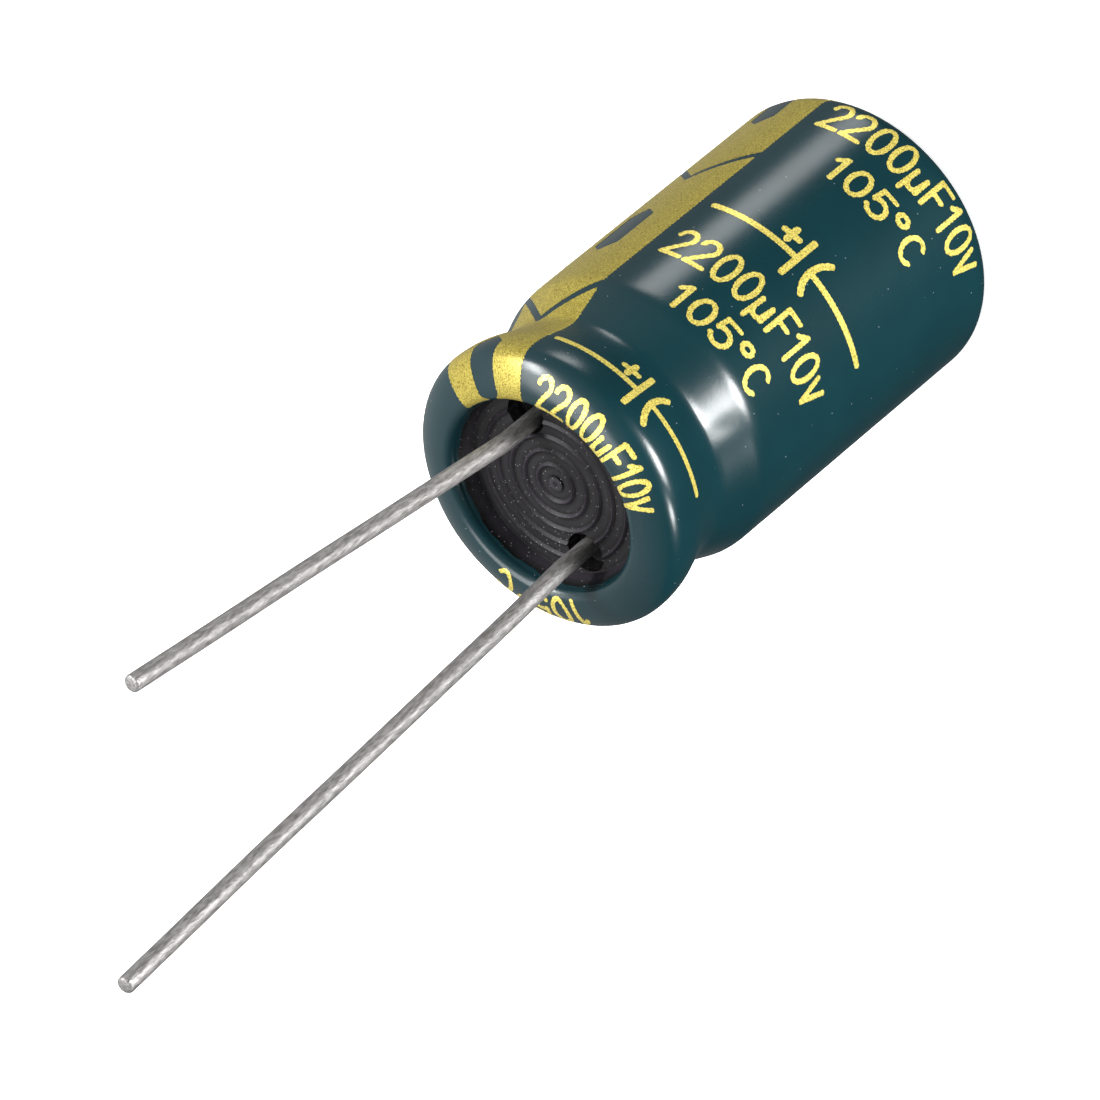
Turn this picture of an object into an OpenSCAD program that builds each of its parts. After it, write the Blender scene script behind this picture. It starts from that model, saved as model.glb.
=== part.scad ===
// Radial aluminium electrolytic capacitor, 10 mm can, leads on a 5 mm pitch.
// It stands on its closed end. z = 0 is the underside of the shrunk sleeve, +Z runs
// up through the rubber bung to the two leads, and +X points to the anode lead.
// All lengths are in millimetres.

/* [Can] */
// Outside diameter of the drawn aluminium can
can_d = 10; // [8:0.1:18]
// Length of the can, from its closed end to the crest of the curled rim
can_h = 17.67; // [14:0.01:40]
// Wall of the can
can_wall = 0.3; // [0.2:0.05:0.5]
// Outside radius between the closed end and the side
shoulder_r = 0.95; // [0.7:0.05:2]

/* [Bead groove] */
// Depth of the groove rolled into the side
groove_depth = 0.82; // [0.4:0.02:1.2]
// Height from the groove's narrowest place up to the crest of the rim
groove_to_crest = 3.98; // [3:0.02:6]
// Slope of the groove's lower flank against the axis
groove_angle = 57; // [40:1:70]
// Share of the flare's height and width taken up by its two arcs
flare_round = 0.86; // [0.5:0.02:0.95]
// Radius where the side turns into the groove
groove_edge_r = 0.4; // [0.35:0.05:0.8]
// Radius at the bottom of the groove
groove_nose_r = 0.35; // [0.2:0.05:0.8]

/* [Curled rim] */
// Step of the bead's widest place inwards from the side
bead_step = 0.045; // [0:0.005:0.3]
// Height from the widest place of the bead to the crest of the rim
rim_h = 0.95; // [0.6:0.01:2]
// Width of the rim, from the bead's widest place in to its crest
rim_w = 1.285; // [1:0.005:2]
// Radius on the outside of the rim, where it leaves the bead
rim_r = 0.68; // [0.4:0.01:0.9]
// Radius of the turned-in edge of the rim
curl_r = 0.23; // [0.15:0.01:0.4]

/* [Pressure vent] */
// Distance of the scored lines' ends from the can's side
score_margin = 2; // [1.2:0.1:4]
// Depth of the scored lines
score_depth = 0.14; // [0.05:0.01:0.25]

/* [Sleeve] */
// Thickness of the heat-shrunk film
sleeve_t = 0.1; // [0.05:0.01:0.2]
// Width of the film that is drawn in over the closed end
sleeve_fold = 1.6; // [1.2:0.1:3]

/* [Rubber bung] */
// Depth of the bung's face below the can's crest
face_depth = 0.87; // [0.5:0.01:1.5]
// Height of the bung below its face
bung_h = 4.3; // [3:0.1:8]
// Width of the squeezed-up edge round the bung's face, at its foot
edge_foot = 0.29; // [0.15:0.01:0.6]
// Width of the same edge at its top
edge_top = 0.1; // [0.05:0.01:0.14]
// Number of moulded rings on the face
rings = 5; // [1:1:8]
// Spacing of the rings
ring_pitch = 0.52; // [0.3:0.01:1]
// Radius of the first ring
ring_first = 0.69; // [0.3:0.01:1.5]
// Height of the rings
ring_h = 0.08; // [0.02:0.01:0.2]
// Half width of a ring at its foot
ring_foot = 0.11; // [0.05:0.01:0.2]
// Radius of the button at the middle of the rings
dot_r = 0.29; // [0.1:0.01:0.4]
// Height of the button
dot_h = 0.05; // [0.02:0.01:0.2]
// Diameter of the pocket round each lead
pocket_d = 1.4; // [0.8:0.05:2]
// Depth of the pocket
pocket_depth = 0.6; // [0.2:0.05:1.5]

/* [Leads] */
// Spacing of the two terminals, and so of the holes in the bung
lead_pitch = 5; // [3.5:0.1:7.5]
// Diameter of the tinned wire
lead_d = 0.6; // [0.5:0.05:1]
// Height of the anode lead's tip above the crest of the sleeved rim
anode_reach = 22.8; // [5:0.1:30]
// Height of the cathode lead's tip above the crest of the sleeved rim
cathode_reach = 17.8; // [5:0.1:30]
// Shift of the anode wire from its terminal's middle towards the can's axis
anode_shift = 0.1; // [0:0.05:0.3]
// Shift of the cathode wire from its terminal's middle towards the can's axis
cathode_shift = 0.3; // [0:0.05:0.3]
// Height above the crest at which the wires start to lean out
lead_straight = 0.25; // [0.2:0.05:5]
// Bevel round the nipped tips
tip_bevel = 0.105; // [0.05:0.005:0.2]
// Outward lean of the anode lead
anode_lean = 3.3; // [1:0.1:6]
// Outward lean of the cathode lead
cathode_lean = 5.2; // [1:0.1:6]

/* [Terminal tabs] */
// Diameter of the round boss that fills the hole in the bung
boss_d = 1.2; // [0.9:0.05:1.6]
// Depth of the boss's welded end below the bung's face
weld_depth = 1; // [0.5:0.1:2]
// Length of the boss below the bung
boss_out = 0.2; // [0:0.05:1]
// Height over which the boss is coined down to the paddle
neck_h = 0.8; // [0.4:0.1:1.2]
// Width of the paddle where it meets the boss
neck_w = 1.08; // [0.8:0.02:1.2]
// Width of the flattened paddle
paddle_w = 1.6; // [1:0.1:3]
// Thickness of the flattened paddle
paddle_t = 0.25; // [0.15:0.01:0.5]
// Length of the paddle inside the winding
paddle_in = 8.6; // [3:0.1:20]

/* [Wound element] */
// Clearance between the winding and the can's wall
element_gap = 0.35; // [0.1:0.05:1]
// Free height between the top of the winding and the bung
headroom = 1.4; // [0.8:0.1:4]
// Diameter of the hole left by the winding arbor
arbor_d = 1.3; // [0.8:0.1:3]
// Clearance round the paddles between the turns
paddle_gap = 0.02; // [0:0.01:0.1]
// Width of the tape that holds the last turn
tape_w = 6; // [2:0.5:12]
// Thickness of the tape
tape_t = 0.06; // [0.02:0.01:0.2]

/* [Hidden] */
$fn = 120;

// Worked-out radii are rounded to this
grain = 0.001;

// Outside of the sleeved body: the can's sizes with the film laid over them
body_r = can_d / 2 + sleeve_t;
body_h = can_h + 2 * sleeve_t;
corner_r = shoulder_r + sleeve_t;

// Groove, as the sleeve's outside shows it
edge_r = groove_edge_r + sleeve_t;
nose_r = groove_nose_r - sleeve_t;
waist_r = body_r - groove_depth;
waist_z = body_h - sleeve_t - groove_to_crest;
flank = (groove_depth - (edge_r + nose_r) * (1 - cos(groove_angle))) / sin(groove_angle);
groove_z = waist_z - (edge_r + nose_r) * sin(groove_angle) - flank * cos(groove_angle);

// Flare from the groove to the bead: an arc, a short straight and an equal arc
bead_r = body_r - bead_step;
bead_z = body_h - rim_h;
flare_rise = bead_z - waist_z;
flare_out = bead_r - waist_r;
flare_angle = flare_round * 2 * atan2(flare_out, flare_rise);
flare_turn = 1 - cos(flare_angle);
flare_sum = (flare_rise * sin(flare_angle) - flare_out * cos(flare_angle)) / flare_turn;
flare_r = round(flare_sum / 2 / grain) * grain;

// Rim: a tight arc off the bead runs into a wide arc that ends level at the crest
crest_r = bead_r - rim_w;
side_r = rim_r + sleeve_t;
crown_fit = (rim_w * rim_w + rim_h * rim_h - 2 * rim_w * side_r) / (2 * (rim_h - side_r));
crown_r = round(crown_fit / grain) * grain;
rim_angle = atan2(crown_r - rim_h, rim_w - side_r);
lip_r = curl_r + sleeve_t;
lip_z = body_h - lip_r;

// Arcs overlap the straights and arcs beside them by this much, so that they join
tuck = 0.002;

// Offsets inwards from the sleeve's outside to the can's outside and inside
can_out = sleeve_t;
can_in = sleeve_t + can_wall;
mouth_r = crest_r - curl_r;

// Bung and tabs
face_z = body_h - sleeve_t - face_depth;
bung_z = face_z - bung_h;
face_r = mouth_r - edge_foot;
lead_x = lead_pitch / 2;
lead_r = lead_d / 2;
weld_z = face_z - weld_depth;
boss_z = bung_z - boss_out;
paddle_top = boss_z - neck_h;

// Winding
floor_z = can_in;
element_r = can_d / 2 - can_wall - element_gap;
element_top = bung_z - headroom;
heel_r = max(element_r - body_r + corner_r, 0.1);
paddle_z = element_top - paddle_in;
tape_z = (floor_z + element_top - tape_w) / 2;
eps = 0.01;

// Unit vector at an angle
function dir(a) = [cos(a), sin(a)];

// Slice of a round disc between two angles
module disc_slice(centre, r, a0, a1) {
    intersection() {
        translate(centre)
            circle(r = r);
        polygon([
            centre,
            centre + 2 * r * dir(a0),
            centre + 2 * r * dir((a0 + a1) / 2),
            centre + 2 * r * dir(a1)
        ]);
    }
}

// Half section of the body, drawn inwards by one offset from the sleeve's outside.
// A straight-edged core is rounded by discs where the outline bulges out, and two
// discs cut the hollow of the groove.
module half_section(in) {
    edge_c = [body_r - edge_r, groove_z];
    nose_c = [waist_r + nose_r, waist_z];
    flare_c = [waist_r + flare_r, waist_z];
    bead_c = [bead_r - flare_r, bead_z];
    side_c = [bead_r - side_r, bead_z];
    crown_c = [crest_r, body_h - crown_r];
    difference() {
        union() {
            polygon([
                [0, in],
                [body_r - corner_r, in],
                [body_r - in, corner_r],
                [body_r - in, groove_z],
                edge_c + (edge_r - in) * (1 - tuck) * dir(groove_angle),
                nose_c + (nose_r + in) * (1 - tuck) * dir(180 + groove_angle),
                nose_c,
                flare_c + (flare_r + in - tuck) * dir(180 - flare_angle),
                bead_c + (flare_r - in - tuck) * dir(-flare_angle),
                [bead_r - in - 2 * tuck, bead_z],
                side_c + (side_r - in) * 0.95 * dir(rim_angle),
                [crest_r, body_h - in],
                [0, body_h - in]
            ]);
            disc_slice([body_r - corner_r, corner_r], corner_r - in, -90, 0);
            translate(edge_c)
                circle(r = edge_r - in);
            disc_slice(bead_c, flare_r - in, -flare_angle - 5, 0);
            translate(side_c)
                circle(r = side_r - in + tuck);
            disc_slice(crown_c, crown_r - in, rim_angle, 90);
        }
        translate(nose_c)
            circle(r = nose_r + in);
        intersection() {
            translate(flare_c)
                circle(r = flare_r + in);
            translate([0, waist_z])
                square([body_r * 2, body_h]);
        }
    }
}

// Half section with the mouth opened and the rim's edge rolled inwards
module curled_section(in) {
    difference() {
        half_section(in);
        difference() {
            translate([0, lip_z])
                square([crest_r, lip_r + 1]);
            translate([crest_r, lip_z])
                circle(r = lip_r - in);
        }
    }
}

// Heat-shrunk film: over the shoulder, down into the groove and round the rim
module sleeve() {
    color([0.08, 0.29, 0.31])
        rotate_extrude()
            difference() {
                curled_section(0);
                curled_section(can_out);
                square([body_r - sleeve_fold, can_out + eps]);
            }
}

// One scored line of the vent, a V cut along the X axis
module score_line() {
    side = score_depth * sqrt(2);
    reach = can_d / 2 - score_margin;
    translate([-reach, 0, can_out])
        rotate([0, 90, 0])
            rotate(45)
                linear_extrude(2 * reach)
                    square(side, center = true);
}

// Drawn aluminium can with its bead groove, curled rim and scored closed end
module can() {
    color([0.82, 0.83, 0.84])
        difference() {
            rotate_extrude()
                difference() {
                    curled_section(can_out);
                    half_section(can_in);
                    translate([0, face_z])
                        square([mouth_r, body_h]);
                }
            score_line();
            rotate(90)
                score_line();
        }
}

// Half section of the rubber: it fills the can from below the groove to the rim,
// and its top edge is squeezed up round the curled lip
module bung_section() {
    edge_z = lip_z - eps;
    difference() {
        union() {
            intersection() {
                half_section(can_in);
                translate([0, bung_z])
                    square([body_r, body_h]);
            }
            translate([mouth_r - edge_top - eps, face_z])
                square([edge_top + eps, edge_z - face_z]);
        }
        polygon([
            [0, face_z],
            [face_r, face_z],
            [mouth_r - edge_top, edge_z],
            [mouth_r - edge_top, body_h],
            [0, body_h]
        ]);
    }
    for (i = [0:rings - 1])
        translate([ring_first + i * ring_pitch, face_z])
            polygon([[-ring_foot, -eps], [ring_foot, -eps], [0, ring_h]]);
    translate([0, bung_z + pocket_depth])
        square([dot_r, face_z + dot_h - bung_z - pocket_depth]);
}

// Pocket and through hole for one terminal
module terminal_hole(side) {
    translate([side * lead_x, 0, bung_z - 1])
        cylinder(d = boss_d, h = bung_h + 2);
    translate([side * lead_x, 0, face_z - pocket_depth])
        cylinder(d = pocket_d, h = pocket_depth + 1);
}

// Moulded rubber bung with its ringed face
module bung() {
    color([0.10, 0.09, 0.10])
        difference() {
            rotate_extrude()
                bung_section();
            terminal_hole(1);
            terminal_hole(-1);
        }
}

// Tinned wire: straight out of the bung, then leaning outwards from the bend.
// The tip is nipped off with a small bevel.
module lead_wire(x, lean, reach) {
    bend_z = body_h + lead_straight;
    run = (body_h + reach - bend_z) / cos(lean);
    stop = lead_r * 0.1;
    translate([x, 0, weld_z])
        cylinder(d = lead_d, h = bend_z - stop - weld_z);
    translate([x, 0, bend_z]) {
        sphere(r = lead_r * 1.02);
        rotate([0, lean, 0])
            rotate_extrude()
                polygon([
                    [0, stop],
                    [lead_r, stop],
                    [lead_r, run - tip_bevel],
                    [lead_r - tip_bevel, run],
                    [0, run]
                ]);
    }
}

// Long lead, on the +X side
module anode_lead() {
    color([0.72, 0.71, 0.69])
        lead_wire(lead_x - anode_shift, anode_lean, anode_reach);
}

// Short lead, on the -X side
module cathode_lead() {
    color([0.72, 0.71, 0.69])
        rotate(180)
            lead_wire(lead_x - cathode_shift, cathode_lean, cathode_reach);
}

// Aluminium tab: a round boss through the bung, coined flat into a paddle
module terminal_tab() {
    translate([lead_x, 0, boss_z])
        cylinder(d = boss_d, h = weld_z - boss_z);
    intersection() {
        translate([lead_x, 0, paddle_top])
            cylinder(d = boss_d, h = neck_h);
        translate([lead_x, boss_d, 0])
            rotate([90, 0, 0])
                linear_extrude(2 * boss_d)
                    polygon([
                        [-paddle_t / 2, paddle_top],
                        [paddle_t / 2, paddle_top],
                        [boss_d / 2, boss_z],
                        [-boss_d / 2, boss_z]
                    ]);
    }
    translate([lead_x - paddle_t / 2, 0, 0])
        rotate([90, 0, 90])
            linear_extrude(paddle_t)
                polygon([
                    [-paddle_w / 2, paddle_z],
                    [paddle_w / 2, paddle_z],
                    [paddle_w / 2, paddle_top],
                    [neck_w / 2, boss_z],
                    [-neck_w / 2, boss_z],
                    [-paddle_w / 2, paddle_top]
                ]);
}

// Tab under the long lead
module anode_tab() {
    color([0.80, 0.81, 0.83])
        terminal_tab();
}

// Tab under the short lead
module cathode_tab() {
    color([0.80, 0.81, 0.83])
        rotate(180)
            terminal_tab();
}

// Slot between two turns, where a paddle lies
module paddle_slot(side) {
    slot_t = paddle_t + 2 * paddle_gap;
    slot_w = paddle_w + 2 * paddle_gap;
    translate([side * lead_x - slot_t / 2, -slot_w / 2, paddle_z - paddle_gap])
        cube([slot_t, slot_w, paddle_in + 1]);
}

// Anode foil, cathode foil and paper, wound into one roll on an arbor
module wound_element() {
    color([0.86, 0.80, 0.66])
        difference() {
            rotate_extrude()
                difference() {
                    union() {
                        translate([0, floor_z + heel_r])
                            square([element_r, element_top - floor_z - heel_r]);
                        translate([0, floor_z])
                            square([element_r - heel_r, heel_r + eps]);
                        translate([element_r - heel_r, floor_z + heel_r])
                            circle(r = heel_r);
                    }
                    square([arbor_d / 2, body_h]);
                }
            paddle_slot(1);
            paddle_slot(-1);
        }
}

// Tape round the last turn
module fixing_tape() {
    color([0.85, 0.72, 0.30])
        translate([0, 0, tape_z])
            difference() {
                cylinder(r = element_r + tape_t, h = tape_w);
                translate([0, 0, -1])
                    cylinder(r = element_r, h = tape_w + 2);
            }
}

sleeve();
can();
bung();
anode_lead();
cathode_lead();
anode_tab();
cathode_tab();
wound_element();
fixing_tape();
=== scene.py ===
"""Radial aluminium electrolytic capacitor, standing on its closed end with its leads up.

The film, its print and the two wires are surfaces worked out here on numpy grids, in
millimetres; the other pieces are the CAD's own solids, each with its finish.
"""
import bpy
import numpy as np
from mathutils import Matrix


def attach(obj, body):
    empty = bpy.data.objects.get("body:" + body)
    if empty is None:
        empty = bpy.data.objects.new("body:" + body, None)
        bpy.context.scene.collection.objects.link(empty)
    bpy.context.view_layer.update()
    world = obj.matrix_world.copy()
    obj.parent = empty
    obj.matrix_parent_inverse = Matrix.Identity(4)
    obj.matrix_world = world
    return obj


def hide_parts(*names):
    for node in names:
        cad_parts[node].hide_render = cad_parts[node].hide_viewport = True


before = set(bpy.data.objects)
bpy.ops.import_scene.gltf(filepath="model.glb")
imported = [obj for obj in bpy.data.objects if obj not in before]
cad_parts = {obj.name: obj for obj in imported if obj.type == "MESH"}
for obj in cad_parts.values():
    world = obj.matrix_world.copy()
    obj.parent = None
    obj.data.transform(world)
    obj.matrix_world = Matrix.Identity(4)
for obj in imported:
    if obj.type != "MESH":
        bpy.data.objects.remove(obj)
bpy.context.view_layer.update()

# Camera: a 290 mm lens 0.28 m away, fitted to the photograph's outline.
# Its place and turn are given by the axis point at the rim's crest and by the axis,
# both as the camera sees them (x right, y down, z ahead, millimetres). The turn from
# one direction square to the axis to the other leads to the longer lead's side.
focal_px, image_px, sensor_mm = 8860.7, 1100.0, 36.0
crest_z = 17.87
crest = np.array([-0.3964, -1.6025, 277.1422])
axis = np.array([0.60117439, -0.50068822, 0.62281672])
across = np.array([-0.63996528, -0.76840382, 0.0])
beside = np.array([-0.47857475, 0.39858108, 0.78236778])
turn = np.radians(155.0)
x_dir = np.cos(turn) * across + np.sin(turn) * beside
z_dir = -axis
y_dir = np.cross(z_dir, x_dir)
to_object = np.stack([x_dir, y_dir, z_dir])
base = crest + crest_z * axis
place = to_object @ (-base) / 1000.0
right, down, ahead = to_object.T
camera_data = bpy.data.cameras.new("camera")
camera_data.lens = focal_px / image_px * sensor_mm
camera_data.sensor_width = sensor_mm
camera_data.sensor_fit = "HORIZONTAL"
camera_data.clip_start = 0.01
camera_data.clip_end = 5.0
camera = bpy.data.objects.new("camera", camera_data)
bpy.context.collection.objects.link(camera)
camera.matrix_world = Matrix((
    (right[0], -down[0], -ahead[0], place[0]),
    (right[1], -down[1], -ahead[1], place[1]),
    (right[2], -down[2], -ahead[2], place[2]),
    (0, 0, 0, 1)))
bpy.context.scene.camera = camera
bpy.context.scene.view_settings.view_transform = "Standard"

# Studio: a sweep that is white where it is looked at. In a glossy surface it is white
# on the left and shades off to dark on the right, as the photograph's film shows it.
def looked_at(tree):
    """Number that is 1 for rays from the camera and rays through glass, and the node
    that also tells glossy rays."""
    ray = tree.nodes.new("ShaderNodeLightPath")
    seen = tree.nodes.new("ShaderNodeMath")
    seen.operation = "MAXIMUM"
    tree.links.new(ray.outputs["Is Camera Ray"], seen.inputs[0])
    tree.links.new(ray.outputs["Is Transmission Ray"], seen.inputs[1])
    return seen.outputs["Value"], ray


def choose(tree, number, at_nought, at_one):
    """Shader that is one of two, or a mix of them in proportion to the number."""
    mix = tree.nodes.new("ShaderNodeMixShader")
    tree.links.new(number, mix.inputs["Fac"])
    tree.links.new(at_nought, mix.inputs[1])
    tree.links.new(at_one, mix.inputs[2])
    return mix.outputs["Shader"]


world = bpy.data.worlds.new("studio")
world.use_nodes = True
bpy.context.scene.world = world
tree = world.node_tree
room = tree.nodes["Background"]
room.inputs["Color"].default_value = (1.0, 1.0, 1.0, 1.0)
room.inputs["Strength"].default_value = 0.40
toward = tree.nodes.new("ShaderNodeTexCoord")
leftward = tree.nodes.new("ShaderNodeVectorMath")
leftward.operation = "DOT_PRODUCT"
leftward.inputs[1].default_value = tuple(-right)
tree.links.new(toward.outputs["Generated"], leftward.inputs[0])
shade = tree.nodes.new("ShaderNodeMapRange")
shade.inputs["From Min"].default_value = -0.30
shade.inputs["From Max"].default_value = 0.90
shade.inputs["To Min"].default_value = 0.05
shade.inputs["To Max"].default_value = 1.00
tree.links.new(leftward.outputs["Value"], shade.inputs["Value"])
sweep = tree.nodes.new("ShaderNodeBackground")
tree.links.new(shade.outputs["Result"], sweep.inputs["Strength"])
white = tree.nodes.new("ShaderNodeBackground")
seen, ray = looked_at(tree)
around = choose(tree, ray.outputs["Is Glossy Ray"], room.outputs["Background"],
                sweep.outputs["Background"])
backdrop = choose(tree, seen, around, white.outputs["Background"])
tree.links.new(backdrop, tree.nodes["World Output"].inputs["Surface"])

# Lamps: soft boxes above and on the left, and two round ones on the right, whose
# reflections are the two bright spots on the film over the groove.
# Each row is a name, the outline, the way to the lamp as the camera sees it (right,
# up, towards it), the width and height in metres, and the power in watts.
lamp_gap = 0.4
aim = np.array([0.0, 0.0, 0.012])
for lamp_name, shape, way, width, tall, watts in (
        ("top_box", "RECTANGLE", (0.08, 0.97, -0.16), 0.10, 0.07, 0.15),
        ("right_disk", "ELLIPSE", (0.80, 0.03, 0.57), 0.15, 0.18, 2.90),
        ("low_right_disk", "ELLIPSE", (0.68, -0.62, 0.40), 0.09, 0.09, 0.85),
        ("left_wide_box", "RECTANGLE", (-0.82, -0.31, 0.48), 0.26, 0.30, 1.45),
        ("left_box", "RECTANGLE", (-0.84, 0.30, 0.45), 0.07, 0.18, 1.50)):
    direction = way[0] * right - way[1] * down - way[2] * ahead
    box_light = bpy.data.lights.new(lamp_name, "AREA")
    box_light.shape = shape
    box_light.size = width
    box_light.size_y = tall
    box_light.energy = watts
    lamp = bpy.data.objects.new(lamp_name, box_light)
    bpy.context.collection.objects.link(lamp)
    back = direction / np.linalg.norm(direction)
    side = np.cross(-down, back)
    side /= np.linalg.norm(side)
    upward = np.cross(back, side)
    spot = lamp_gap * back + aim
    lamp.matrix_world = Matrix((
        (side[0], upward[0], back[0], spot[0]),
        (side[1], upward[1], back[1], spot[1]),
        (side[2], upward[2], back[2], spot[2]),
        (0, 0, 0, 1)))

# Floor: a pale table, white where it is looked at. Other rays pass it, because the
# photograph shows the object with nothing dark or bright close under it.
# It lies 0.02 mm low, clear of the film's underside.
mesh = bpy.data.meshes.new("floor")
floor_z = -0.00002
mesh.from_pydata([(-2, -2, floor_z), (2, -2, floor_z), (2, 2, floor_z), (-2, 2, floor_z)],
                 [], [(0, 1, 2, 3)])
floor = bpy.data.objects.new("floor", mesh)
bpy.context.collection.objects.link(floor)
table = bpy.data.materials.new("pale_table")
table.use_nodes = True
tree = table.node_tree
tree.nodes.remove(tree.nodes["Principled BSDF"])
paint = tree.nodes.new("ShaderNodeBsdfDiffuse")
paint.inputs["Color"].default_value = (0.9, 0.9, 0.9, 1.0)
glow = tree.nodes.new("ShaderNodeEmission")
glow.inputs["Strength"].default_value = 0.75
lit = tree.nodes.new("ShaderNodeAddShader")
tree.links.new(paint.outputs["BSDF"], lit.inputs[0])
tree.links.new(glow.outputs["Emission"], lit.inputs[1])
clear = tree.nodes.new("ShaderNodeBsdfTransparent")
seen = looked_at(tree)[0]
top = choose(tree, seen, clear.outputs["BSDF"], lit.outputs["Shader"])
tree.links.new(top, tree.nodes["Material Output"].inputs["Surface"])
mesh.materials.append(table)

# Sleeve: a tube of dark teal plastic film, 0.1 mm thick, heat-shrunk on the can. It is
# drawn in over the closed end's shoulder, bridges the groove as a shallow cone, and goes
# round the rim into the mouth, where its cut edge is a little uneven.

# The mesh is 0.04 mm thick, so that its waves stay clear of the can under it
body_r, corner_r, film_t, fold_r = 5.1, 1.05, 0.04, 3.5
straight_low, straight_high = 1.3, 12.35


def arc_run(centre, radius, first, last, count):
    """Points on a circle at equal angles, and the unit vectors out of the film.

    A point is the centre plus the radius times (cos a, sin a); the vector is
    (cos a, sin a).
    """
    angle = np.radians(np.linspace(first, last, count))
    unit = np.stack([np.cos(angle), np.sin(angle)], axis=1)
    return np.array(centre) + radius * unit, unit


def bridge(start, first_pull, last_pull, end, count):
    """Points on the cubic curve between two points with two pulls, and its outward
    unit vectors; its end points are left out, as the runs beside it have them.

    A point is (1-t)^3 A + 3(1-t)^2 t B + 3(1-t) t^2 C + t^3 D. The vector is the
    curve's own direction turned a quarter turn outwards.
    """
    t = np.linspace(0.0, 1.0, count + 2)[1:-1, None]
    a, b, c, d = np.array([start, first_pull, last_pull, end])
    spot = ((1 - t) ** 3 * a + 3 * (1 - t) ** 2 * t * b
            + 3 * (1 - t) * t ** 2 * c + t ** 3 * d)
    way = (1 - t) ** 2 * (b - a) + 2 * (1 - t) * t * (c - b) + t ** 2 * (d - c)
    way /= np.linalg.norm(way, axis=1, keepdims=True)
    return spot, np.stack([way[:, 1], -way[:, 0]], axis=1)


# Half section as radius and height: the ring under the closed end, its corner, the
# side, three curves over the groove, the bead, the rim's side and crown, its edge, and
# the cut edge on the rubber
runs = [
    (np.array([[fold_r, 0.0], [3.7, 0.0], [3.9, 0.0]]), np.tile([[0.0, -1.0]], (3, 1))),
    arc_run((body_r - corner_r, corner_r), corner_r, -90, 0, 22),
    (np.stack([np.full(40, body_r), np.linspace(straight_low, straight_high, 40)], axis=1),
     np.tile([[1.0, 0.0]], (40, 1))),
    bridge((body_r, straight_high), (body_r, 12.87), (5.047, 12.93), (4.920, 13.280), 16),
    bridge((4.920, 13.280), (4.800, 13.609), (4.681, 13.938), (4.561, 14.267), 6),
    bridge((4.561, 14.267), (4.460, 14.545), (4.6326, 15.1463), (4.8768, 15.8554), 18),
    arc_run((1.785, 16.92), 3.27, -19, 0, 10),
    arc_run((4.275, 16.92), 0.78, 6, 52.9, 12),
    arc_run((3.77, 16.249), 1.621, 56, 90, 10),
    arc_run((3.77, 17.54), 0.33, 98, 180, 12),
    (np.array([[3.417, 17.50], [3.398, 17.44], [3.377, 17.38]]),
     np.tile([[-0.957, 0.29]], (3, 1)))]
line = np.concatenate([run[0] for run in runs])
out_way = np.concatenate([run[1] for run in runs])
run_length = np.concatenate([[0.0], np.cumsum(np.linalg.norm(np.diff(line, axis=0), axis=1))])
run_length -= body_r - corner_r - fold_r


def on_film(run, azimuth, lift):
    """Points on the film, in millimetres.

    The half section is read at the distance run along it, moved out by the lift and
    by the film's slight waves, a sum of three sine products of a few hundredths of
    a millimetre that grow in below the groove, less a dimple over the groove (two
    bell curves multiplied), and turned round the can's axis by the azimuth.
    """
    wave = (0.010 * np.sin(2 * azimuth + 0.7) * np.sin(0.9 * run)
            + 0.006 * np.sin(5 * azimuth + 1.9) * np.sin(1.7 * run + 1.1)
            + 0.004 * np.sin(9 * azimuth + 4.0) * np.sin(2.3 * run + 0.4))
    wave = wave * np.clip((run - 11.5) / 3.0, 0.0, 1.0)
    off_dimple = np.degrees(np.angle(np.exp(1j * (azimuth - np.radians(90.0)))))
    wave = wave - 0.020 * np.exp(-(off_dimple / 4.5) ** 2 - ((run - 14.45) / 0.6) ** 2)
    shift = lift + wave
    radius, level = (np.interp(run, run_length, line[:, part])
                     + shift * np.interp(run, run_length, out_way[:, part]) for part in (0, 1))
    return np.stack([radius * np.cos(azimuth), radius * np.sin(azimuth), level], axis=-1)


def put_mesh(name, points, faces, finish, node=None):
    """Make a piece of points in millimetres, shade it smooth but for its sharp edges,
    give it its finish, and let it ride on the object's one body."""
    mesh = bpy.data.meshes.new(name)
    mesh.from_pydata((points / 1000.0).tolist(), [], faces.tolist())
    mesh.shade_smooth()
    mesh.set_sharp_from_angle(angle=np.radians(40.0))
    mesh.materials.append(finish)
    piece = bpy.data.objects.new(name, mesh)
    bpy.context.collection.objects.link(piece)
    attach(piece, "root")
    if node:
        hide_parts(node)
    return piece


def grid_faces(rows, columns, close_rows, close_columns):
    """Quads between neighbours of a grid of points, rounded off where it is closed."""
    i, j = np.meshgrid(np.arange(rows if close_rows else rows - 1),
                       np.arange(columns if close_columns else columns - 1), indexing="ij")
    i, j = i.ravel(), j.ravel()
    next_i, next_j = (i + 1) % rows, (j + 1) % columns
    return np.stack([i * columns + j, i * columns + next_j,
                     next_i * columns + next_j, next_i * columns + j], axis=1)


def new_finish(name, colour, metallic, roughness):
    """A material with its plain shader set, and its tree for more nodes."""
    finish = bpy.data.materials.new(name)
    finish.use_nodes = True
    shader = finish.node_tree.nodes["Principled BSDF"]
    shader.inputs["Base Color"].default_value = (*colour, 1.0)
    shader.inputs["Metallic"].default_value = metallic
    shader.inputs["Roughness"].default_value = roughness
    return finish, finish.node_tree, shader


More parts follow.
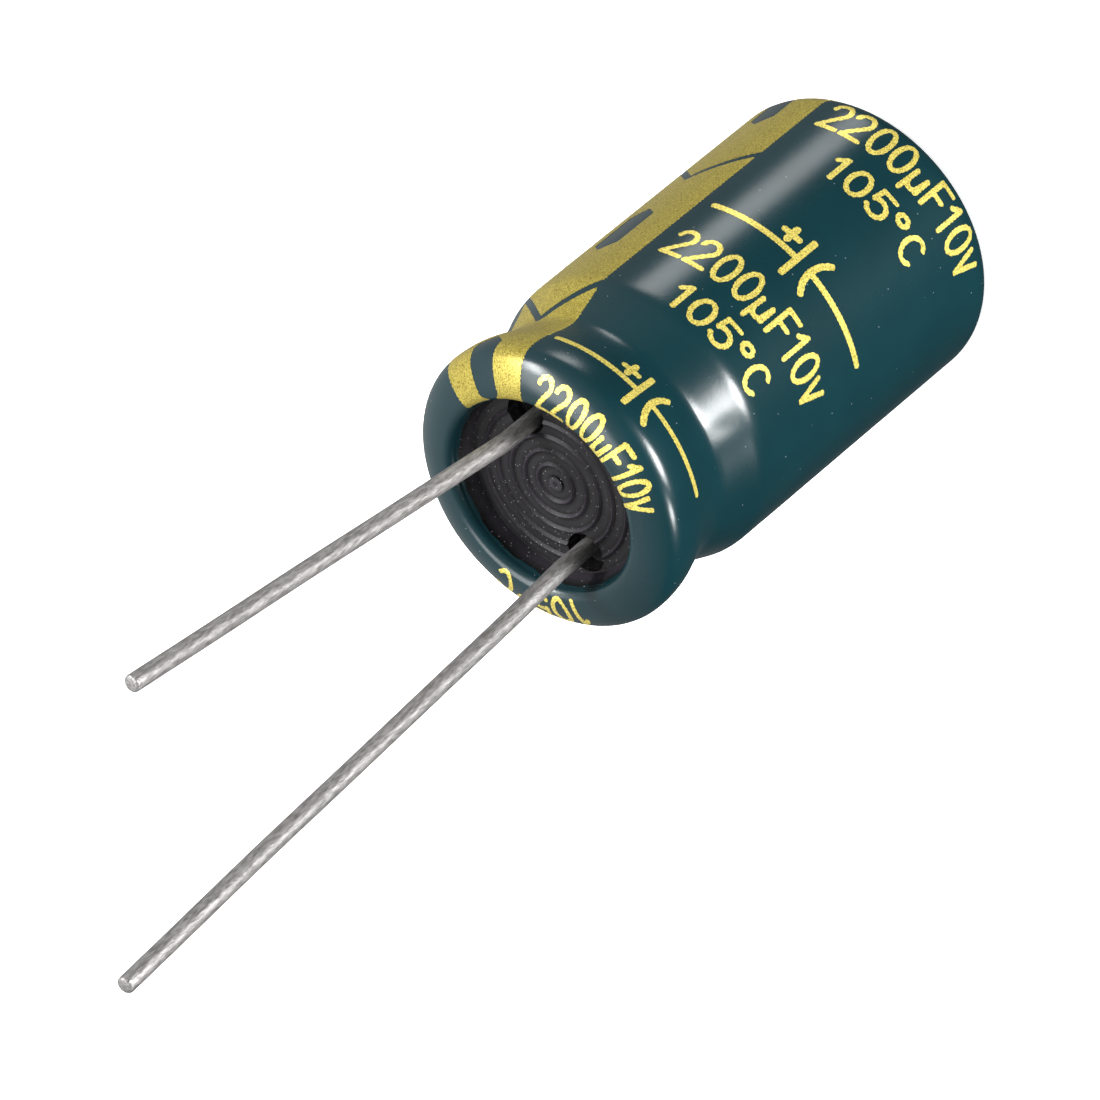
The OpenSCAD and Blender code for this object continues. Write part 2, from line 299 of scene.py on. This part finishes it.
def grain(tree, kind, scale, detail, stretch=(1.0, 1.0, 1.0)):
    """A noise or cell pattern in the object's own coordinates, stretched by axes."""
    if not tree.nodes.get("Texture Coordinate"):
        tree.nodes.new("ShaderNodeTexCoord")
    fit = tree.nodes.new("ShaderNodeMapping")
    fit.inputs["Scale"].default_value = stretch
    tree.links.new(tree.nodes["Texture Coordinate"].outputs["Object"], fit.inputs["Vector"])
    pattern = tree.nodes.new("ShaderNodeTexNoise" if kind == "noise" else "ShaderNodeTexVoronoi")
    pattern.inputs["Scale"].default_value = scale
    if kind == "noise":
        pattern.inputs["Detail"].default_value = detail
    tree.links.new(fit.outputs["Vector"], pattern.inputs["Vector"])
    return pattern.outputs["Fac" if kind == "noise" else "Distance"]


def ramp(tree, value, low, high, first, last):
    """Straight change of a number or colour from first to last as the value goes
    from low to high, held outside them."""
    steps = tree.nodes.new("ShaderNodeValToRGB")
    steps.color_ramp.elements[0].position = low
    steps.color_ramp.elements[1].position = high
    steps.color_ramp.elements[0].color = (*first, 1.0)
    steps.color_ramp.elements[1].color = (*last, 1.0)
    tree.links.new(value, steps.inputs["Fac"])
    return steps.outputs["Color"]


def relief(tree, shader, value, depth):
    """Raise the surface by the value, by depth in millimetres at most."""
    bump = tree.nodes.new("ShaderNodeBump")
    bump.inputs["Distance"].default_value = depth / 1000.0
    tree.links.new(value, bump.inputs["Height"])
    tree.links.new(bump.outputs["Normal"], shader.inputs["Normal"])


def dusty(tree, shader, colour, cells, near, far, strength, dust_colour):
    """Pale specks on a colour: one in the middle of each cell, of one size, that
    fades out between two distances from that middle."""
    amount = ramp(tree, grain(tree, "cells", cells, 0.0), near, far,
                  (strength, strength, strength), (0.0, 0.0, 0.0))
    mix = tree.nodes.new("ShaderNodeMix")
    mix.data_type = "RGBA"
    tree.links.new(amount, mix.inputs["Factor"])
    tree.links.new(colour, mix.inputs["A"])
    mix.inputs["B"].default_value = (*dust_colour, 1.0)
    tree.links.new(mix.outputs["Result"], shader.inputs["Base Color"])


film, tree, shader = new_finish("sleeve_film", (0.0028, 0.025, 0.031), 0.0, 0.25)
shader.inputs["Specular IOR Level"].default_value = 0.5
tint = ramp(tree, grain(tree, "noise", 420.0, 4.0), 0.3, 0.7,
            (0.0022, 0.0208, 0.0262), (0.0029, 0.0252, 0.0316))
dusty(tree, shader, tint, 2100.0, 0.03, 0.05, 0.6, (0.30, 0.36, 0.36))
relief(tree, shader, grain(tree, "noise", 15000.0, 2.0), 0.0020)

columns = 288
azimuth = np.linspace(0.0, 2 * np.pi, columns, endpoint=False)
inner_run = run_length[::3]
rows_run = np.concatenate([run_length, inner_run[::-1]])
rows_lift = np.concatenate([np.zeros(len(run_length)), np.full(len(inner_run), -film_t)])
run_grid, azimuth_grid = np.meshgrid(rows_run, azimuth, indexing="ij")
uneven = (0.03 * np.sin(7 * azimuth) + 0.02 * np.sin(17 * azimuth + 1.0)
          + 0.015 * np.sin(41 * azimuth + 2.0))
at_lip = np.clip((run_grid - run_length[-1] + 0.3) / 0.3, 0.0, 1.0)
run_grid = run_grid + at_lip * (uneven - 0.07)[None, :]
sleeve_points = on_film(run_grid, azimuth_grid, rows_lift[:, None])
sleeve_faces = grid_faces(len(rows_run), columns, True, True)
sleeve = put_mesh("film_sleeve", sleeve_points.reshape(-1, 3), sleeve_faces[:, ::-1],
                  film, "sleeve")

# Print: gold ink laid on the film before it is shrunk, with the saw-toothed edges of
# an engraved roller. A stripe of the same gold, darkened as painted shade, marks the
# minus side, with notches and minus signs left bare. The figures and the circuit sign
# are generic.

# Length after which the pattern repeats along the tube, the ink's thickness, and the
# length of one tooth of its edges, in millimetres
repeat = 8.43
ink_t = 0.008
tooth = 0.16


def saw(value):
    """Triangle wave between -1 and 1 with a period of 1."""
    return 4.0 * np.abs(value - np.floor(value + 0.5)) - 1.0


def cut_sheet(inside, across_grid, along_grid):
    """Corners and triangles of the part of a grid where a number is above nought.

    Each grid square is two triangles. A triangle is kept whole where all its corners
    are inside; otherwise it is cut where the number, read straight along its sides,
    crosses nought, which leaves one triangle or a four-sided piece.
    """
    rows, columns = inside.shape
    number = inside.ravel()
    quads = grid_faces(rows, columns, False, False)
    triangles = np.concatenate([quads[:, [0, 1, 2]], quads[:, [0, 2, 3]]])
    wet = number[triangles] > 0.0
    count = wet.sum(axis=1)
    whole = triangles[count == 3]
    odd_one = np.argmax(wet[count == 1], axis=1)[:, None]
    one = np.take_along_axis(triangles[count == 1], (odd_one + [0, 1, 2]) % 3, axis=1)
    odd_one = np.argmin(wet[count == 2], axis=1)[:, None]
    two = np.take_along_axis(triangles[count == 2], (odd_one + [0, 1, 2]) % 3, axis=1)
    sides = np.concatenate([one[:, [0, 1]], one[:, [0, 2]], two[:, [0, 1]], two[:, [0, 2]]])
    sides = np.sort(sides, axis=1)
    cuts, which = np.unique(sides, axis=0, return_inverse=True)
    which = which.ravel() + number.size
    a, b, c, d = np.split(which, np.cumsum([len(one), len(one), len(two)]))
    faces = np.concatenate([
        whole,
        np.stack([one[:, 0], a, b], axis=1),
        np.stack([c, two[:, 1], two[:, 2]], axis=1),
        np.stack([c, two[:, 2], d], axis=1)])
    part = np.clip(number[cuts[:, 0]] / (number[cuts[:, 0]] - number[cuts[:, 1]]), 0.04, 0.96)
    flat = np.stack([across_grid.ravel(), along_grid.ravel()], axis=1)
    between = flat[cuts[:, 0]] + part[:, None] * (flat[cuts[:, 1]] - flat[cuts[:, 0]])
    flat = np.concatenate([flat, between])
    used, faces = np.unique(faces, return_inverse=True)
    return flat[used], faces.reshape(-1, 3)


def ink_layer(inside, across_grid, along_grid, middle_run, middle_azimuth, drift=0.0):
    """A closed thin layer of ink on the film, from a flat drawing.

    The drawing's across goes round the can, against the azimuth, and its along goes
    towards the closed end. Past the groove it drifts round by some degrees, as the
    film crept there when it shrank. The sheet is laid at the ink's thickness and again
    just above the film, and every edge that only one triangle has gets a wall.
    """
    flat, faces = cut_sheet(inside, across_grid, along_grid)
    run = middle_run - flat[:, 1]
    crept = np.radians(drift) * np.clip((run - 15.0) / 4.0, 0.0, 1.0)
    turned = middle_azimuth - flat[:, 0] / body_r - crept
    upper = on_film(run, turned, np.full(len(flat), ink_t))
    lower = on_film(run, turned, np.full(len(flat), 0.0005))
    count = len(flat)
    edges = np.concatenate([faces[:, [0, 1]], faces[:, [1, 2]], faces[:, [2, 0]]])
    keys = edges[:, 0] * count + edges[:, 1]
    rim = edges[~np.isin(keys, edges[:, 1] * count + edges[:, 0])]
    walls = np.concatenate([
        np.stack([rim[:, 0], rim[:, 0] + count, rim[:, 1] + count], axis=1),
        np.stack([rim[:, 0], rim[:, 1] + count, rim[:, 1]], axis=1)])
    return np.concatenate([upper, lower]), np.concatenate([faces, faces[:, ::-1] + count, walls])


def join(layers):
    """Several meshes as one, with their corner numbers moved on."""
    start = np.cumsum([0] + [len(points) for points, faces in layers[:-1]])
    return (np.concatenate([points for points, faces in layers]),
            np.concatenate([faces + first for (points, faces), first in zip(layers, start)]))


def print_azimuth(angle):
    """Azimuth round the can of an angle on the print, which runs the other way round
    from a line 65 degrees off the leads' plane."""
    return np.radians(-65.0 - angle)


inks = []
# the second ink is the same gold painted about half as bright: painted shade for the stripe
for ink_name, low_gold, high_gold in (
        ("gold_ink", (0.44, 0.34, 0.042), (0.95, 0.80, 0.20)),
        ("gold_ink_painted_shade", (0.22, 0.172, 0.018), (0.53, 0.435, 0.085))):
    ink, tree, shader = new_finish(ink_name, high_gold, 0.50, 0.36)
    speck = ramp(tree, grain(tree, "noise", 21000.0, 1.0), 0.34, 0.60, low_gold, high_gold)
    tree.links.new(speck, shader.inputs["Base Color"])
    relief(tree, shader, grain(tree, "noise", 15000.0, 1.0), 0.004)
    inks.append(ink)
gold, painted_shade_gold = inks

stripe_w, slit_w = 3.67, 0.25
slit_run, slit_slope = 6.635, 0.858
minus_run, minus_half_w, minus_half_l = 1.62, 0.55, 1.40
# a length along the tube times this is the distance square to the slanting edge
slit_square, minus_square = 0.76, 0.8
step = 0.07
stripe_run = np.arange(0.10, run_length[-1] - 0.30, step)
stripe_across = np.linspace(-stripe_w / 2 - 0.1, stripe_w / 2 + 0.1, 56)
along_grid, across_grid = np.meshgrid(stripe_run, stripe_across, indexing="ij")
inside = stripe_w / 2 + 0.03 * saw(along_grid / tooth) - np.abs(across_grid)
inside = np.minimum(inside, np.minimum(along_grid - stripe_run[1], stripe_run[-2] - along_grid))
for number in range(4):
    slit = along_grid - (slit_run + repeat * (number - 1) - slit_slope * np.abs(across_grid))
    inside = np.minimum(inside, (np.abs(slit) * slit_square - slit_w / 2
                                 + 0.015 * saw(across_grid / tooth)))
    from_middle = np.abs(along_grid - (minus_run + repeat * (number - 1)))
    ends = (minus_half_l - from_middle - 0.8 * np.abs(across_grid)) * minus_square
    minus = np.minimum(minus_half_w - np.abs(across_grid), ends)
    inside = np.minimum(inside, -minus + 0.02 * saw(along_grid / tooth))
stripe_layer = ink_layer(inside, across_grid, -along_grid, 0.0, print_azimuth(108.5), 4.5)
# the stripe's gold is darkened as painted shade
stripe = put_mesh("minus_stripe", *stripe_layer, painted_shade_gold)


def bow(centre, wide, tall, first, last, count=14):
    """Corners on part of an ellipse: the centre plus wide cos a and tall sin a."""
    angle = np.radians(np.linspace(first, last, count))
    return np.stack([centre[0] + wide * np.cos(angle), centre[1] + tall * np.sin(angle)], axis=1)


# Figures as pen strokes in a box one unit high, with the width that each takes up
strokes = {
    "0": (0.56, [bow((0.21, 0.43), 0.19, 0.43, 0, 360, 26)]),
    "1": (0.42, [[(0.02, 0.66), (0.18, 0.86), (0.18, 0.0)]]),
    "2": (0.56, [np.concatenate([bow((0.20, 0.63), 0.19, 0.23, 170, -25),
                                 [(0.0, 0.0), (0.42, 0.0)]])]),
    "5": (0.56, [np.concatenate([[(0.37, 0.86), (0.06, 0.86), (0.03, 0.46)],
                                 bow((0.19, 0.28), 0.20, 0.28, 125, -155)])]),
    "u": (0.52, [[(0.0, -0.20), (0.03, 0.50)],
                 np.concatenate([bow((0.17, 0.17), 0.14, 0.17, 190, 330),
                                 [(0.33, 0.50), (0.33, 0.02)]])]),
    "F": (0.52, [[(0.02, 0.0), (0.02, 0.86), (0.38, 0.86)], [(0.02, 0.45), (0.32, 0.45)]]),
    "V": (0.50, [[(0.0, 0.70), (0.17, 0.0), (0.34, 0.70)]]),
    "C": (0.56, [bow((0.23, 0.43), 0.21, 0.43, 48, 312, 20)]),
    "o": (0.42, [bow((0.12, 0.70), 0.12, 0.15, 0, 360, 18)]),
}


def pen_distance(lines, across_grid, along_grid):
    """Distance of each grid point from the nearest of many straight pen strokes.

    For each stroke the point is dropped on it, the foot is held between its ends,
    and the least of the distances is kept.
    """
    starts = np.concatenate([np.asarray(one)[:-1] for one in lines])
    ends = np.concatenate([np.asarray(one)[1:] for one in lines])
    spot = np.stack([across_grid.ravel(), along_grid.ravel()], axis=1)[:, None, :]
    span = (ends - starts)[None]
    foot = ((spot - starts[None]) * span).sum(axis=2) / np.maximum((span ** 2).sum(axis=2), 1e-9)
    gap = spot - starts[None] - np.clip(foot, 0.0, 1.0)[..., None] * span
    return np.sqrt((gap ** 2).sum(axis=2)).min(axis=1).reshape(across_grid.shape)


def figures(text, wide, tall, pen):
    """Pen strokes of a line of figures, centred, wide and tall in millimetres."""
    lines, left = [], 0.0
    for figure in text:
        space, own = strokes[figure]
        lines += [np.asarray(one) + [left, 0.0] for one in own]
        left += space
    last = max(one[:, 0].max() for one in lines)
    size = np.array([(wide - pen) / last, (tall - pen) / 0.86])
    return [(one - [last / 2, 0.43]) * size for one in lines]


def stroke_layer(lines, pen, middle_run, middle_azimuth, grid=0.045):
    """Ink layer of pen strokes of one width, with the roller's toothed edge."""
    corner = np.concatenate(lines)
    low, high = corner.min(axis=0) - pen, corner.max(axis=0) + pen
    across_grid, along_grid = np.meshgrid(np.arange(low[0], high[0], grid),
                                          np.arange(low[1], high[1], grid), indexing="xy")
    tooth_edge = 0.011 * (saw(across_grid / tooth) + saw(along_grid / tooth))
    inside = pen / 2 + tooth_edge - pen_distance(lines, across_grid, along_grid)
    return ink_layer(inside, across_grid, along_grid, middle_run, middle_azimuth)


pen, sign_pen = 0.185, 0.24
rating = figures("2200uF10V", 7.5, 1.5, pen)
rim_rating = figures("2200uF10V", 6.55, 1.32, pen)
limit = figures("105oC", 4.3, 1.3, pen)
# circuit sign of a polarised capacitor: two leads, a flat plate, a curved one, a plus
sign = [np.array([(-3.7, -0.1), (-0.35, -0.1)]), np.array([(-0.35, -0.95), (-0.35, 0.85)]),
        bow((2.0, -0.1), 1.75, 1.5, 215, 145, 12), np.array([(0.25, -0.1), (3.7, -0.1)]),
        np.array([(-1.35, 0.50), (-0.75, 0.50)]), np.array([(-1.05, 0.20), (-1.05, 0.80)])]
front_azimuth, back_azimuth = print_azimuth(177.25), print_azimuth(322.0)
layers = []
for number in range(3):
    row = repeat * number
    if number < 2:
        layers.append(stroke_layer(rating, pen, 2.07 + row, front_azimuth))
        layers.append(stroke_layer(limit, pen, 4.15 + row, front_azimuth))
        layers.append(stroke_layer(sign, sign_pen, 8.14 + row, front_azimuth))
    else:
        layers.append(stroke_layer(rim_rating, pen, 2.15 + row, print_azimuth(178.5)))
    layers.append(stroke_layer(limit, pen, 2.07 + row, back_azimuth))
marks = put_mesh("gold_figures", *join(layers), gold)

# Bung: black rubber moulded with rings, squeezed by the groove and the curled rim.
# It has a dull purple-grey bloom and fine pale dust on it.
ring_first, ring_pitch = 0.69, 0.52


def times(tree, colour, factor):
    """One colour times another."""
    mix = tree.nodes.new("ShaderNodeMix")
    mix.data_type = "RGBA"
    mix.blend_type = "MULTIPLY"
    mix.inputs["Factor"].default_value = 1.0
    tree.links.new(colour, mix.inputs["A"])
    tree.links.new(factor, mix.inputs["B"])
    return mix.outputs["Result"]


def give_finish(node, finish):
    """Put a finish on one of the CAD's own solids, in place of its plain one."""
    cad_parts[node].data.materials.clear()
    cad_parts[node].data.materials.append(finish)


rubber, tree, shader = new_finish("bung_rubber", (0.012, 0.010, 0.013), 0.0, 0.52)
shader.inputs["Specular IOR Level"].default_value = 0.28
bloom = ramp(tree, grain(tree, "noise", 900.0, 5.0), 0.35, 0.7,
             (0.0068, 0.0058, 0.0078), (0.0138, 0.0122, 0.0158))
# the rings' crests are painted pale, partly as wear and partly as painted highlight, and
# their feet dark as painted shade, by the distance from the nearest ring; the squeezed-up
# edge outside them is darkened as painted shadow under the rim
flat_way = tree.nodes.new("ShaderNodeVectorMath")
flat_way.operation = "MULTIPLY"
flat_way.inputs[1].default_value = (1.0, 1.0, 0.0)
tree.links.new(tree.nodes["Texture Coordinate"].outputs["Object"], flat_way.inputs[0])
from_axis = tree.nodes.new("ShaderNodeVectorMath")
from_axis.operation = "LENGTH"
tree.links.new(flat_way.outputs["Vector"], from_axis.inputs[0])
phase = tree.nodes.new("ShaderNodeMath")
phase.operation = "MULTIPLY_ADD"
phase.inputs[1].default_value = 1000.0 / ring_pitch
phase.inputs[2].default_value = -ring_first / ring_pitch
tree.links.new(from_axis.outputs["Value"], phase.inputs[0])
from_ring = tree.nodes.new("ShaderNodeMath")
from_ring.operation = "PINGPONG"
from_ring.inputs[1].default_value = 0.5
tree.links.new(phase.outputs["Value"], from_ring.inputs[0])
# crests pale as wear and painted highlight, feet dark as painted shade
wear_and_painted_light = tree.nodes.new("ShaderNodeValToRGB")
wear_and_painted_light.color_ramp.elements[0].position = 0.05
wear_and_painted_light.color_ramp.elements[0].color = (2.9, 2.9, 2.9, 1.0)
wear_and_painted_light.color_ramp.elements[1].position = 0.42
wear_and_painted_light.color_ramp.elements[1].color = (1.0, 1.0, 1.0, 1.0)
for position, level in ((0.15, 1.2), (0.21, 0.12), (0.28, 0.35)):
    stop = wear_and_painted_light.color_ramp.elements.new(position)
    stop.color = (level, level, level, 1.0)
tree.links.new(from_ring.outputs["Value"], wear_and_painted_light.inputs["Fac"])
# painted shadow: the squeezed-up edge under the rim is darkened to 0.4
edge = ramp(tree, from_axis.outputs["Value"], 0.00320, 0.00326,
            (1.0, 1.0, 1.0), (0.4, 0.4, 0.4))
face = times(tree, times(tree, bloom, wear_and_painted_light.outputs["Color"]), edge)
dusty(tree, shader, face, 6500.0, 0.08, 0.15, 1.0, (0.20, 0.19, 0.20))
relief(tree, shader, grain(tree, "noise", 14000.0, 3.0), 0.012)
give_finish("bung", rubber)

# Leads: tinned steel wire, butt-welded to the aluminium bosses inside the bung.
# They were pulled straight, so they keep slight bends, a dull streaked skin drawn
# along them, and nipped tips.
tinned, tree, shader = new_finish("tinned_wire", (0.28, 0.272, 0.264), 0.62, 0.45)
streak = grain(tree, "noise", 12000.0, 4.0, (1.0, 1.0, 0.25))
tree.links.new(ramp(tree, streak, 0.30, 0.66, (0.150, 0.145, 0.140), (0.350, 0.341, 0.334)),
               shader.inputs["Base Color"])
pits = grain(tree, "noise", 20000.0, 3.0, (1.0, 1.0, 0.50))
relief(tree, shader, pits, 0.018)
wire_r, tip_bevel, bend_z = 0.3, 0.105, 18.12
ring_sides = 40


def bent_wire(foot_x, lean, reach, side, bends):
    """Rings of a round wire that rises from the weld, turns out above the rim, leans
    by an angle, and ends in a bevelled tip.

    The middle line's x is the foot plus the height above the bend times the tangent
    of the lean, softened over some tenths of a millimetre, plus slow sine waves of a
    few hundredths; each ring lies square to the line, and the tip's rings shrink as a
    quarter circle.
    """
    top = crest_z + reach
    level = np.concatenate([[15.9, 16.6, 17.3, 17.7], np.linspace(17.9, 18.6, 8),
                            np.linspace(19.0, top - tip_bevel, 46)])
    above = level - bend_z
    ramp_up = 0.5 * (above + np.sqrt(above ** 2 + 0.01))
    middle = foot_x + np.tan(np.radians(lean)) * ramp_up
    part = np.clip(above / (top - bend_z), 0.0, 1.0)
    grown = np.clip(above / 2.0, 0.0, 1.0)
    for size, waves, start in bends:
        middle = middle + size * np.sin(waves * np.pi * part + start) * grown
    line = np.stack([side * middle, np.zeros_like(level), level], axis=1)
    tangent = np.gradient(line, axis=0)
    tangent /= np.linalg.norm(tangent, axis=1, keepdims=True)
    radius = np.full(len(level), wire_r)
    turn = np.radians(np.array([30.0, 60.0, 85.0]))
    end = line[-1] + tip_bevel * np.sin(turn)[:, None] * tangent[-1]
    line = np.concatenate([line, end])
    tangent = np.concatenate([tangent, np.repeat(tangent[-1:], 3, axis=0)])
    radius = np.concatenate([radius, wire_r - tip_bevel * (1 - np.cos(turn))])
    angle = np.linspace(0.0, 2 * np.pi, ring_sides, endpoint=False)
    second = np.array([0.0, 1.0, 0.0])
    first = np.cross(second, tangent)
    rings = (line[:, None, :]
             + radius[:, None, None] * (np.cos(angle)[None, :, None] * first[:, None, :]
                                        + np.sin(angle)[None, :, None] * second))
    count = len(line)
    points = np.concatenate([rings.reshape(-1, 3), line[:1], line[-1:]])
    skin = grid_faces(count, ring_sides, False, True)
    skin = np.concatenate([skin[:, [0, 1, 2]], skin[:, [0, 2, 3]]])
    here = np.arange(ring_sides)
    following = (here + 1) % ring_sides
    foot_middle = np.full(ring_sides, count * ring_sides)
    foot_cap = np.stack([foot_middle, following, here], axis=1)
    last = (count - 1) * ring_sides
    tip_cap = np.stack([foot_middle + 1, last + here, last + following], axis=1)
    return points, np.concatenate([skin, foot_cap, tip_cap])


anode_wire = bent_wire(2.4, 3.3, 22.8, 1.0, [(0.020, 2.0, 0.4), (0.006, 5.0, 0.0)])
anode = put_mesh("long_lead", *anode_wire, tinned, "anode_lead")
cathode_wire = bent_wire(2.2, 5.2, 17.8, -1.0, [(0.012, 1.0, 0.0), (0.006, 4.0, 1.0)])
cathode = put_mesh("short_lead", *cathode_wire, tinned, "cathode_lead")

# Can: one cup drawn from aluminium, bright but dulled by the draw lines along its side.
# Only its closed end, with the two scored vent lines, shows in the film's opening.
drawn, tree, shader = new_finish("can_aluminium", (0.80, 0.81, 0.82), 1.0, 0.30)
brush = grain(tree, "noise", 1500.0, 4.0, (1.0, 1.0, 0.05))
tree.links.new(ramp(tree, brush, 0.3, 0.7, (0.62, 0.63, 0.64), (0.86, 0.87, 0.88)),
               shader.inputs["Base Color"])
relief(tree, shader, brush, 0.004)
give_finish("can", drawn)

# Tabs: soft aluminium pins that fill the holes in the bung. Each has a wire welded to
# its upper end, and is coined flat below the bung to be stitched to its foil.
coined, tree, shader = new_finish("tab_aluminium", (0.76, 0.77, 0.78), 1.0, 0.42)
coin = grain(tree, "noise", 2500.0, 4.0)
tree.links.new(ramp(tree, coin, 0.3, 0.7, (0.60, 0.61, 0.62), (0.82, 0.83, 0.84)),
               shader.inputs["Base Color"])
relief(tree, shader, coin, 0.01)
give_finish("anode_tab", coined)
give_finish("cathode_tab", coined)

# Winding: foils and paper rolled together and soaked; its ends show the turns as
# fine rings, its side the last turn of paper.
paper, tree, shader = new_finish("winding_paper", (0.70, 0.60, 0.42), 0.0, 0.75)
tree.nodes.new("ShaderNodeTexCoord")
turns = tree.nodes.new("ShaderNodeTexWave")
turns.wave_type = "RINGS"
turns.rings_direction = "Z"
turns.inputs["Scale"].default_value = 1600.0
turns.inputs["Distortion"].default_value = 0.6
tree.links.new(tree.nodes["Texture Coordinate"].outputs["Object"], turns.inputs["Vector"])
tree.links.new(ramp(tree, turns.outputs["Fac"], 0.2, 0.8, (0.42, 0.36, 0.26), (0.74, 0.65, 0.48)),
               shader.inputs["Base Color"])
relief(tree, shader, turns.outputs["Fac"], 0.02)
give_finish("wound_element", paper)

# Fixing tape: one turn of amber adhesive film round the winding, which holds the end
# of its last turn.
amber, tree, shader = new_finish("tape_film", (0.72, 0.44, 0.10), 0.0, 0.28)
crease = grain(tree, "noise", 700.0, 3.0)
tree.links.new(ramp(tree, crease, 0.3, 0.7, (0.62, 0.36, 0.07), (0.76, 0.48, 0.13)),
               shader.inputs["Base Color"])
relief(tree, shader, crease, 0.01)
give_finish("fixing_tape", amber)
